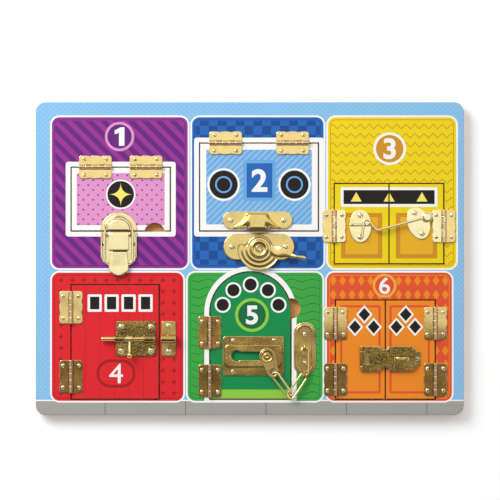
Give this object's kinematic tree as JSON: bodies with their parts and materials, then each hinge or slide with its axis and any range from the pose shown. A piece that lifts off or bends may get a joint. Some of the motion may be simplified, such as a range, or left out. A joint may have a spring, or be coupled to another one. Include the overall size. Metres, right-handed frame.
{
  "type": "busy board",
  "caption": "Flat wooden busy board for toddlers: small painted doors set in a thick panel, each held shut by a different brass latch.",
  "frame": {"origin": "middle of the back face, which lies on the ground", "axes": "+Z out of the front face, +Y to the board's upper edge, +X to the right as seen from the front"},
  "size_m": [0.394, 0.288, 0.0227],
  "materials": {
    "board_paint": "satin paint over plywood",
    "door_paint": "satin paint over plywood, a different colour on each door",
    "bare_wood": "bare plywood",
    "polished_brass": "polished"
  },
  "bodies": {
    "board": {"backing_board": "bare_wood", "face_board": "board_paint", "frame_hinge_leaves": "polished_brass", "hinge_pins": "polished_brass", "frame_hinge_screws": "polished_brass", "frame_latch_screws": "polished_brass", "draw_latch_base": "polished_brass", "draw_latch_pin": "polished_brass", "sash_base": "polished_brass", "sash_rivet": "polished_brass", "bolt_strike": "polished_brass", "chain_anchor": "polished_brass"},
    "door_1": {"door_1": "door_paint", "door_1_hinge_leaves": "polished_brass", "door_1_screws": "polished_brass", "draw_latch_strike": "polished_brass"},
    "door_2": {"door_2": "door_paint", "door_2_hinge_leaves": "polished_brass", "door_2_screws": "polished_brass", "sash_keeper": "polished_brass"},
    "door_3_left": {"door_3_left": "door_paint", "door_3_left_hinge_leaves": "polished_brass", "door_3_left_screws": "polished_brass", "hook_eye": "polished_brass"},
    "door_3_right": {"door_3_right": "door_paint", "door_3_right_hinge_leaves": "polished_brass", "door_3_right_screws": "polished_brass", "hook_swivel_plate": "polished_brass", "hook_stud": "polished_brass"},
    "door_4": {"door_4": "door_paint", "door_4_hinge_leaves": "polished_brass", "door_4_screws": "polished_brass", "bolt_plate": "polished_brass"},
    "door_5": {"door_5": "door_paint", "door_5_hinge_leaves": "polished_brass", "door_5_screws": "polished_brass", "chain_track": "polished_brass"},
    "door_6_left": {"door_6_left": "door_paint", "door_6_left_hinge_leaves": "polished_brass", "door_6_left_screws": "polished_brass", "hasp_leaf": "polished_brass", "hasp_pin": "polished_brass"},
    "door_6_right": {"door_6_right": "door_paint", "door_6_right_hinge_leaves": "polished_brass", "door_6_right_screws": "polished_brass", "staple_plate": "polished_brass"},
    "draw_latch_lever": {"draw_latch_lever": "polished_brass"},
    "draw_latch_bail": {"draw_latch_bail": "polished_brass"},
    "sash_cam": {"sash_cam": "polished_brass"},
    "hook": {"hook": "polished_brass"},
    "bolt_rod": {"bolt_rod": "polished_brass"},
    "bolt_knob": {"bolt_knob": "polished_brass"},
    "chain_slider": {"chain_slider": "polished_brass"},
    "chain_hanger": {"chain_hanger": "polished_brass"},
    "chain_link_a": {"chain_link_a": "polished_brass"},
    "chain_link_b": {"chain_link_b": "polished_brass"},
    "chain_link_c": {"chain_link_c": "polished_brass"},
    "hasp_strap": {"hasp_strap": "polished_brass"},
    "turn_staple": {"turn_staple": "polished_brass"}
  },
  "joints": [
    {"name": "door_1_hinge", "type": "hinge", "parent": "board", "child": "door_1", "pos_m": [-0.11865, 0.084, 0.0138], "axis": [-1, 0, 0], "range_deg": [0, 90]},
    {"name": "door_2_hinge", "type": "hinge", "parent": "board", "child": "door_2", "pos_m": [0.0086, 0.1062, 0.0138], "axis": [-1, 0, 0], "range_deg": [0, 110]},
    {"name": "door_3_left_hinge", "type": "hinge", "parent": "board", "child": "door_3_left", "pos_m": [0.0778, 0.0297, 0.0138], "axis": [0, -1, 0], "range_deg": [0, 95]},
    {"name": "door_3_right_hinge", "type": "hinge", "parent": "board", "child": "door_3_right", "pos_m": [0.1787, 0.0297, 0.0138], "axis": [0, 1, 0], "range_deg": [0, 95]},
    {"name": "door_4_hinge", "type": "hinge", "parent": "board", "child": "door_4", "pos_m": [-0.1644, -0.0768, 0.0138], "axis": [0, -1, 0], "range_deg": [0, 110]},
    {"name": "door_5_hinge", "type": "hinge", "parent": "board", "child": "door_5", "pos_m": [-0.0367, -0.0903, 0.0138], "axis": [0, -1, 0], "range_deg": [0, 110]},
    {"name": "door_6_left_hinge", "type": "hinge", "parent": "board", "child": "door_6_left", "pos_m": [0.0789, -0.0855, 0.0138], "axis": [0, -1, 0], "range_deg": [0, 90]},
    {"name": "door_6_right_hinge", "type": "hinge", "parent": "board", "child": "door_6_right", "pos_m": [0.1708, -0.0855, 0.0138], "axis": [0, 1, 0], "range_deg": [0, 90]},
    {"name": "draw_latch_lever_pivot", "type": "hinge", "parent": "board", "child": "draw_latch_lever", "pos_m": [-0.1204, 0.0222, 0.0158], "axis": [-1, 0, 0], "range_deg": [0, 110]},
    {"name": "draw_latch_bail_pivot", "type": "hinge", "parent": "draw_latch_lever", "child": "draw_latch_bail", "pos_m": [-0.1204, -0.0038, 0.0153], "axis": [1, 0, 0], "range_deg": [0, 195]},
    {"name": "sash_cam_pivot", "type": "hinge", "parent": "board", "child": "sash_cam", "pos_m": [0.0088, 0.0091, 0.0147], "axis": [0, 0, -1], "range_deg": [0, 150]},
    {"name": "hook_pivot", "type": "hinge", "parent": "door_3_right", "child": "hook", "pos_m": [0.163, 0.0381, 0.0166], "axis": [0, 0, -1], "range_deg": [0, 75]},
    {"name": "bolt_slide", "type": "slide", "parent": "door_4", "child": "bolt_rod", "axis": [1, 0, 0], "range_m": [0, 0.01]},
    {"name": "bolt_knob_turn", "type": "hinge", "parent": "bolt_rod", "child": "bolt_knob", "pos_m": [-0.1101, -0.0738, 0.0166], "axis": [-1, 0, 0], "range_deg": [0, 90]},
    {"name": "chain_slide", "type": "slide", "parent": "door_5", "child": "chain_slider", "axis": [1, 0, 0], "range_m": [-0.0277, 0]},
    {"name": "chain_hanger_pivot", "type": "hinge", "parent": "chain_slider", "child": "chain_hanger", "pos_m": [0.0158, -0.0895, 0.0178], "axis": [0, 0, 1], "range_deg": [-30, 10]},
    {"name": "chain_link_a_swing", "type": "hinge", "parent": "chain_hanger", "child": "chain_link_a", "pos_m": [0.0214, -0.1045, 0.0178], "axis": [0, 0, 1], "range_deg": [-35, 0]},
    {"name": "chain_link_b_swing", "type": "hinge", "parent": "chain_link_a", "child": "chain_link_b", "pos_m": [0.03759, -0.12598, 0.0178], "axis": [0, 0, 1], "range_deg": [-20, 25]},
    {"name": "chain_link_c_swing", "type": "hinge", "parent": "board", "child": "chain_link_c", "pos_m": [0.0507, -0.082, 0.0146], "axis": [0, 0, 1], "range_deg": [-20, 20]},
    {"name": "hasp_strap_hinge", "type": "hinge", "parent": "door_6_left", "child": "hasp_strap", "pos_m": [0.1031, -0.092, 0.01395], "axis": [0, -1, 0], "range_deg": [0, 110]},
    {"name": "turn_staple_pivot", "type": "hinge", "parent": "door_6_right", "child": "turn_staple", "pos_m": [0.1392, -0.0923, 0.0161], "axis": [0, 0, 1], "range_deg": [0, 90]}
  ],
  "couplings": [
    {"joint": "door_3_right_hinge", "follows": "door_3_left_hinge", "ratio": 1},
    {"joint": "door_6_right_hinge", "follows": "door_6_left_hinge", "ratio": 1},
    {"joint": "draw_latch_bail_pivot", "follows": "draw_latch_lever_pivot", "ratio": 1.75},
    {"joint": "door_1_hinge", "follows": "draw_latch_lever_pivot", "ratio": 0.8}
  ]
}
